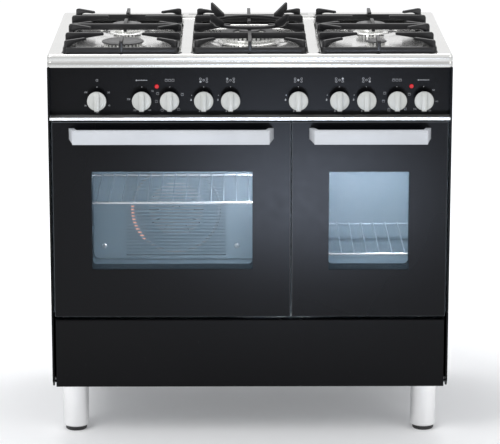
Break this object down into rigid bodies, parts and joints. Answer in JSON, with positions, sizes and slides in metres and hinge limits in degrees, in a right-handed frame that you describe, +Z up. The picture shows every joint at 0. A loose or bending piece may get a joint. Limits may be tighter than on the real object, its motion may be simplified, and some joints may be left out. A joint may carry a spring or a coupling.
{
  "type": "range cooker",
  "caption": "Free-standing range cooker with gas hob, cast pan supports, glass oven doors, control knobs, storage flap and round legs",
  "frame": {"origin": "on the floor, below the middle of the overall box", "axes": "+Z up, -Y to the front where the doors are, +X to the viewer's right"},
  "size_m": [0.9, 0.649, 0.9643],
  "materials": {
    "black_enamel": "gloss",
    "oven_enamel": "gloss",
    "stainless": "satin",
    "galvanised": "matte",
    "door_glass": "gloss",
    "clear_glass": "gloss",
    "lamp_glass": "gloss",
    "cast_iron": "matte",
    "cap_enamel": "satin",
    "burner_alloy": "satin",
    "satin_alloy": "satin",
    "leg_steel": "satin",
    "black_plastic": "matte",
    "seal_rubber": "matte",
    "shelf_wire": "gloss",
    "red_lens": "gloss",
    "tap_brass": "satin",
    "element_steel": "matte"
  },
  "bodies": {
    "cooker": {"side_panel_left": "black_enamel", "side_panel_right": "black_enamel", "control_panel": "black_enamel", "main_liner": "oven_enamel", "second_liner": "oven_enamel", "fan_baffle": "oven_enamel", "hob_top": "stainless", "fascia_trim": "stainless", "rear_vent": "stainless", "back_panel": "galvanised", "base_tray": "galvanised", "storage_box": "galvanised", "door_hinges": "galvanised", "fan_motor": "galvanised", "oven_lamps": "lamp_glass", "burner_caps": "cap_enamel", "burner_heads": "burner_alloy", "burner_cups": "burner_alloy", "legs": "leg_steel", "terminal_box": "black_plastic", "oven_switches": "black_plastic", "door_seals": "seal_rubber", "indicator_lamps": "red_lens", "gas_rail": "tap_brass", "heating_elements": "element_steel"},
    "main_door": {"main_door_glass": "door_glass", "main_door_panel": "black_enamel", "main_inner_glass": "clear_glass", "main_handle": "satin_alloy"},
    "second_door": {"second_door_glass": "door_glass", "second_door_panel": "black_enamel", "second_inner_glass": "clear_glass", "second_handle": "satin_alloy"},
    "flap": {"storage_flap": "black_enamel"},
    "main_rack": {"main_shelf": "shelf_wire"},
    "second_rack": {"second_shelf": "shelf_wire"},
    "fan": {"oven_fan": "galvanised"},
    "left_support": {"pan_support_left": "cast_iron"},
    "centre_support": {"pan_support_centre": "cast_iron"},
    "right_support": {"pan_support_right": "cast_iron"},
    "cradle": {"wok_cradle": "cast_iron"},
    "tap_stem_front_left": {"spindle_front_left": "tap_brass"},
    "tap_stem_rear_left": {"spindle_rear_left": "tap_brass"},
    "tap_stem_wok": {"spindle_wok": "tap_brass"},
    "tap_stem_rear_right": {"spindle_rear_right": "tap_brass"},
    "tap_stem_front_right": {"spindle_front_right": "tap_brass"},
    "dial_front_left": {"knob_front_left": "satin_alloy"},
    "dial_rear_left": {"knob_rear_left": "satin_alloy"},
    "dial_wok": {"knob_wok": "satin_alloy"},
    "dial_rear_right": {"knob_rear_right": "satin_alloy"},
    "dial_front_right": {"knob_front_right": "satin_alloy"},
    "dial_timer": {"knob_timer": "satin_alloy"},
    "dial_main_temperature": {"knob_main_temperature": "satin_alloy"},
    "dial_main_function": {"knob_main_function": "satin_alloy"},
    "dial_second_function": {"knob_second_function": "satin_alloy"},
    "dial_second_temperature": {"knob_second_temperature": "satin_alloy"},
    "screw_foot_front_left": {"foot_front_left": "black_plastic"},
    "screw_foot_front_right": {"foot_front_right": "black_plastic"},
    "screw_foot_back_left": {"foot_back_left": "black_plastic"},
    "screw_foot_back_right": {"foot_back_right": "black_plastic"}
  },
  "joints": [
    {"name": "main_door_hinge", "type": "hinge", "parent": "cooker", "child": "main_door", "pos_m": [-0.17535, -0.2635, 0.3065], "axis": [1, 0, 0], "range_deg": [0, 90], "stiffness_Nm_per_rad": 5, "springref_deg": -34.38},
    {"name": "second_door_hinge", "type": "hinge", "parent": "cooker", "child": "second_door", "pos_m": [0.26795, -0.2635, 0.3065], "axis": [1, 0, 0], "range_deg": [0, 90], "stiffness_Nm_per_rad": 3.2, "springref_deg": -34.38},
    {"name": "flap_hinge", "type": "hinge", "parent": "cooker", "child": "flap", "pos_m": [0, -0.2635, 0.1435], "axis": [1, 0, 0], "range_deg": [0, 90], "stiffness_Nm_per_rad": 1.2, "springref_deg": -28.65},
    {"name": "main_shelf_slide", "type": "slide", "parent": "cooker", "child": "main_rack", "axis": [0, -1, 0], "range_m": [0, 0.25]},
    {"name": "second_shelf_slide", "type": "slide", "parent": "cooker", "child": "second_rack", "axis": [0, -1, 0], "range_m": [0, 0.25]},
    {"name": "fan_spin", "type": "hinge", "parent": "cooker", "child": "fan", "pos_m": [-0.17535, 0.1545, 0.4479], "axis": [0, -1, 0], "continuous": true},
    {"name": "tap_press_front_left", "type": "slide", "parent": "cooker", "child": "tap_stem_front_left", "axis": [0, 1, 0], "range_m": [0, 0.003], "stiffness_N_per_m": 1500, "springref_m": -0.001},
    {"name": "tap_turn_front_left", "type": "hinge", "parent": "tap_stem_front_left", "child": "dial_front_left", "pos_m": [-0.10305, -0.2425, 0.793], "axis": [0, -1, 0], "range_deg": [0, 210]},
    {"name": "tap_press_rear_left", "type": "slide", "parent": "cooker", "child": "tap_stem_rear_left", "axis": [0, 1, 0], "range_m": [0, 0.003], "stiffness_N_per_m": 1500, "springref_m": -0.001},
    {"name": "tap_turn_rear_left", "type": "hinge", "parent": "tap_stem_rear_left", "child": "dial_rear_left", "pos_m": [-0.0432, -0.2425, 0.793], "axis": [0, -1, 0], "range_deg": [0, 210]},
    {"name": "tap_press_wok", "type": "slide", "parent": "cooker", "child": "tap_stem_wok", "axis": [0, 1, 0], "range_m": [0, 0.003], "stiffness_N_per_m": 1500, "springref_m": -0.001},
    {"name": "tap_turn_wok", "type": "hinge", "parent": "tap_stem_wok", "child": "dial_wok", "pos_m": [0.108, -0.2425, 0.793], "axis": [0, -1, 0], "range_deg": [0, 210]},
    {"name": "tap_press_rear_right", "type": "slide", "parent": "cooker", "child": "tap_stem_rear_right", "axis": [0, 1, 0], "range_m": [0, 0.003], "stiffness_N_per_m": 1500, "springref_m": -0.001},
    {"name": "tap_turn_rear_right", "type": "hinge", "parent": "tap_stem_rear_right", "child": "dial_rear_right", "pos_m": [0.1998, -0.2425, 0.793], "axis": [0, -1, 0], "range_deg": [0, 210]},
    {"name": "tap_press_front_right", "type": "slide", "parent": "cooker", "child": "tap_stem_front_right", "axis": [0, 1, 0], "range_m": [0, 0.003], "stiffness_N_per_m": 1500, "springref_m": -0.001},
    {"name": "tap_turn_front_right", "type": "hinge", "parent": "tap_stem_front_right", "child": "dial_front_right", "pos_m": [0.2601, -0.2425, 0.793], "axis": [0, -1, 0], "range_deg": [0, 210]},
    {"name": "switch_turn_timer", "type": "hinge", "parent": "cooker", "child": "dial_timer", "pos_m": [-0.3411, -0.2425, 0.793], "axis": [0, 1, 0], "range_deg": [0, 300]},
    {"name": "switch_turn_main_temperature", "type": "hinge", "parent": "cooker", "child": "dial_main_temperature", "pos_m": [-0.2412, -0.2425, 0.793], "axis": [0, 1, 0], "range_deg": [0, 270]},
    {"name": "switch_turn_main_function", "type": "hinge", "parent": "cooker", "child": "dial_main_function", "pos_m": [-0.1791, -0.2425, 0.793], "axis": [0, 1, 0], "range_deg": [0, 315]},
    {"name": "switch_turn_second_function", "type": "hinge", "parent": "cooker", "child": "dial_second_function", "pos_m": [0.32805, -0.2425, 0.793], "axis": [0, 1, 0], "range_deg": [0, 315]},
    {"name": "switch_turn_second_temperature", "type": "hinge", "parent": "cooker", "child": "dial_second_temperature", "pos_m": [0.3879, -0.2425, 0.793], "axis": [0, 1, 0], "range_deg": [0, 270]},
    {"name": "left_support_lift", "type": "slide", "parent": "cooker", "child": "left_support", "axis": [0, 0, 1], "range_m": [0, 0.06]},
    {"name": "centre_support_lift", "type": "slide", "parent": "cooker", "child": "centre_support", "axis": [0, 0, 1], "range_m": [0, 0.06]},
    {"name": "right_support_lift", "type": "slide", "parent": "cooker", "child": "right_support", "axis": [0, 0, 1], "range_m": [0, 0.06]},
    {"name": "cradle_lift", "type": "slide", "parent": "centre_support", "child": "cradle", "axis": [0, 0, 1], "range_m": [0, 0.08]},
    {"name": "foot_front_left_adjust", "type": "slide", "parent": "cooker", "child": "screw_foot_front_left", "axis": [0, 0, -1], "range_m": [0, 0.015]},
    {"name": "foot_front_right_adjust", "type": "slide", "parent": "cooker", "child": "screw_foot_front_right", "axis": [0, 0, -1], "range_m": [0, 0.015]},
    {"name": "foot_back_left_adjust", "type": "slide", "parent": "cooker", "child": "screw_foot_back_left", "axis": [0, 0, -1], "range_m": [0, 0.015]},
    {"name": "foot_back_right_adjust", "type": "slide", "parent": "cooker", "child": "screw_foot_back_right", "axis": [0, 0, -1], "range_m": [0, 0.015]}
  ],
  "couplings": [
    {"joint": "main_shelf_slide", "follows": "main_door_hinge", "m_per_rad": 0.159},
    {"joint": "second_shelf_slide", "follows": "second_door_hinge", "m_per_rad": 0.159}
  ]
}
